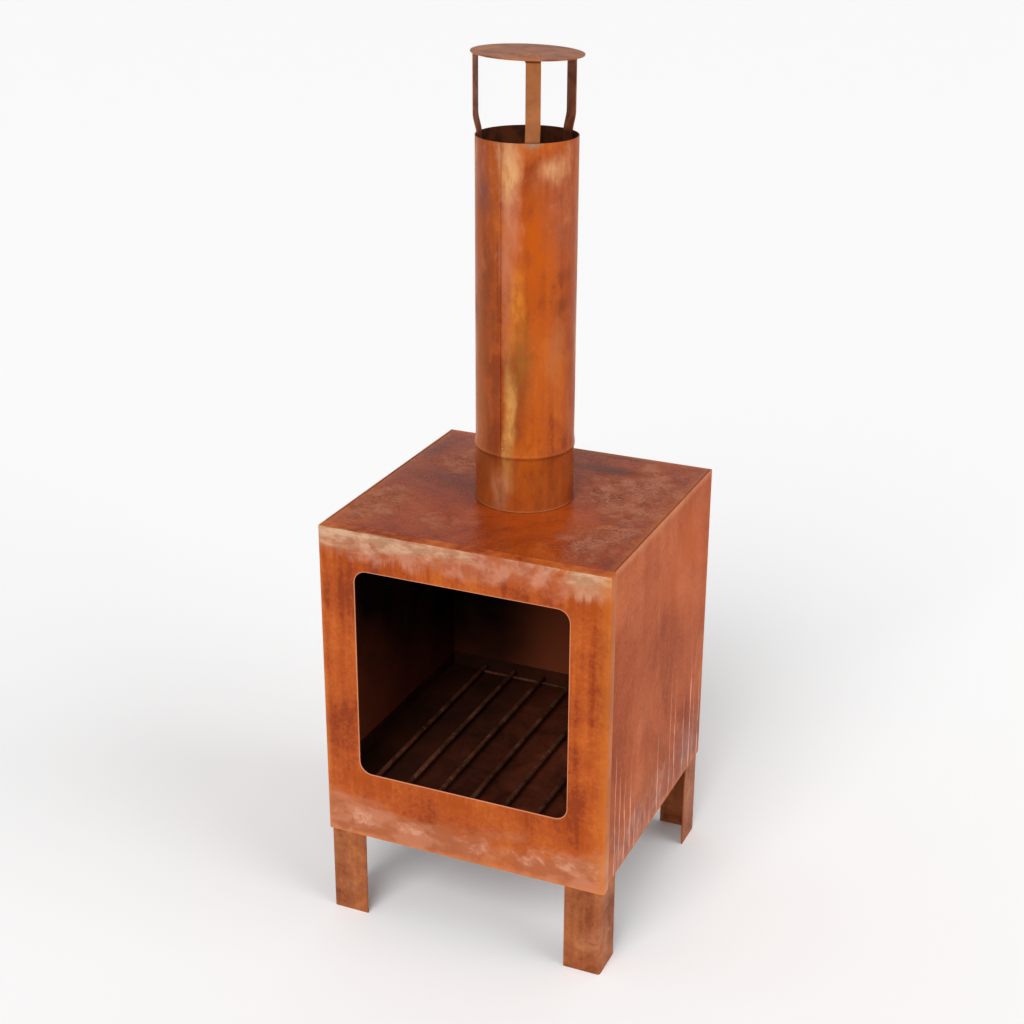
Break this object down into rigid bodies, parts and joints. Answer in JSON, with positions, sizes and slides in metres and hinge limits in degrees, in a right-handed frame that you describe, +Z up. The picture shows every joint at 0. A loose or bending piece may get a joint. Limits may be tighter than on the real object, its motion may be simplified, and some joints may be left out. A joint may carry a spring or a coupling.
{
  "type": "chiminea",
  "caption": "Square steel chiminea: open firebox on four folded legs with a loose bar grate, and a lift-off round chimney pipe with a rain cap on straps.",
  "frame": {"origin": "on the ground, under the middle of the firebox", "axes": "+X to the right, +Y to the back, +Z up; the mouth faces -Y"},
  "size_m": [0.35, 0.344, 1.0052],
  "materials": {
    "front_rust": "rusted weathering steel, orange with vertical streaks and beige oxide along its top",
    "side_rust": "rusted weathering steel, orange-brown, mauve and streaked with pale drips lower down",
    "top_rust": "rusted weathering steel, deep red-brown with a fine wet-looking pitting",
    "flue_rust": "rusted weathering steel, satin orange and gold",
    "cap_rust": "rusted weathering steel, orange-brown with mauve patches",
    "strap_rust": "rusted weathering steel, tan to dark brown",
    "leg_rust": "rusted weathering steel, even brownish orange",
    "sooted_steel": "rusted steel darkened inside the fire chamber",
    "grate_steel": "dull rusted round bar"
  },
  "bodies": {
    "firebox": {"front_panel": "front_rust", "left_side_panel": "side_rust", "right_side_panel": "side_rust", "back_panel": "side_rust", "top_plate": "top_rust", "floor_plate": "sooted_steel", "flue_collar": "flue_rust", "leg_front_left": "leg_rust", "leg_front_right": "leg_rust", "leg_back_left": "leg_rust", "leg_back_right": "leg_rust"},
    "flue": {"flue_pipe": "flue_rust", "cap_disc": "cap_rust", "cap_strap_left": "strap_rust", "cap_strap_front": "strap_rust", "cap_strap_right": "strap_rust"},
    "grate": {"grate_bar_1": "grate_steel", "grate_bar_2": "grate_steel", "grate_bar_3": "grate_steel", "grate_bar_4": "grate_steel", "grate_bar_5": "grate_steel", "grate_bar_6": "grate_steel", "grate_bar_7": "grate_steel", "grate_cross_rod_front": "grate_steel", "grate_cross_rod_back": "grate_steel"}
  },
  "joints": [
    {"name": "flue_lift", "type": "slide", "parent": "firebox", "child": "flue", "axis": [0, 0, 1], "range_m": [0, 0.08]},
    {"name": "grate_lift", "type": "slide", "parent": "firebox", "child": "grate", "axis": [0, 0, 1], "range_m": [0, 0.1]}
  ]
}
